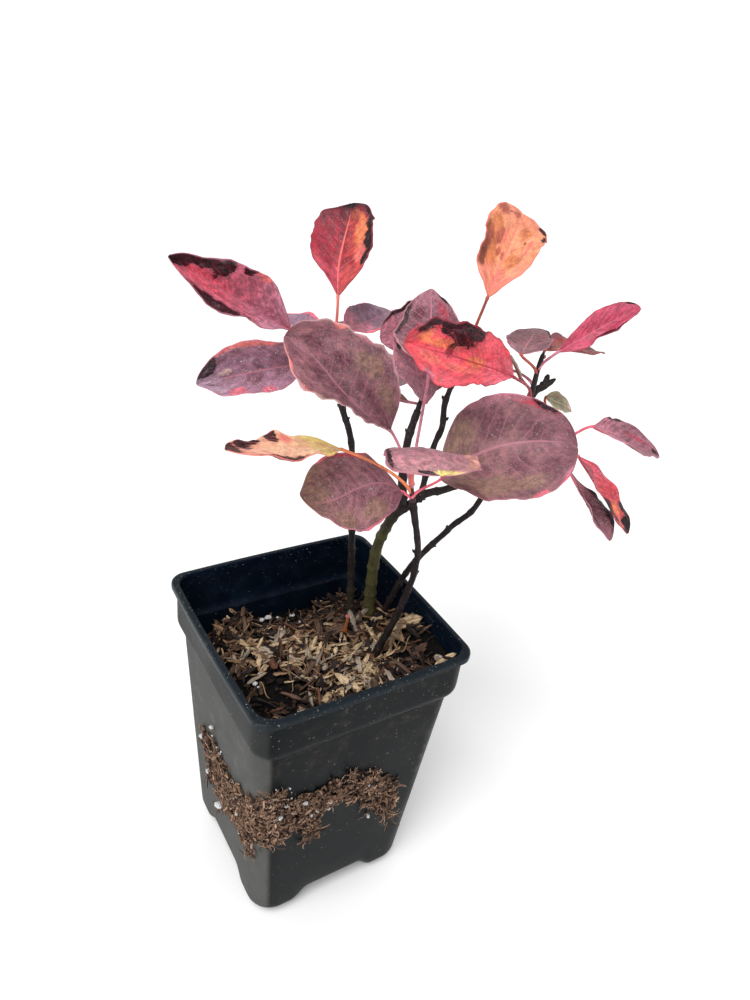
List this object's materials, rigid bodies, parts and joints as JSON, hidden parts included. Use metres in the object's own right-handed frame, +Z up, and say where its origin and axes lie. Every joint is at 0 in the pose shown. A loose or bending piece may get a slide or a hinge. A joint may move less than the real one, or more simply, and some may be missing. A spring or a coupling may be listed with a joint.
{
  "type": "potted smoke bush",
  "caption": "Young purple-leaved smoke bush with slim woody stems and clustered rounded leaves, growing in a square black nursery pot.",
  "frame": {"origin": "centre of the pot's flat underside", "axes": "+Z up along the pot's axis and the stems; X and Y square to the pot's sides, with +X towards the side where the crown hangs over the rim"},
  "size_m": [0.1728, 0.1199, 0.2751],
  "materials": {
    "pot": "satin",
    "soil": "rough",
    "bark": "rough",
    "leaf": "satin"
  },
  "bodies": {
    "root": {"pot": "pot", "soil": "soil", "stem_left": "bark", "stem_main": "bark", "stem_right": "bark", "stem_front": "bark", "bough_inner": "bark", "bough_side": "bark", "bough_middle": "bark", "foliage_left": "leaf", "foliage_front": "leaf", "foliage_inner": "leaf", "foliage_middle": "leaf", "foliage_right": "leaf", "foliage_side": "leaf"}
  },
  "joints": []
}
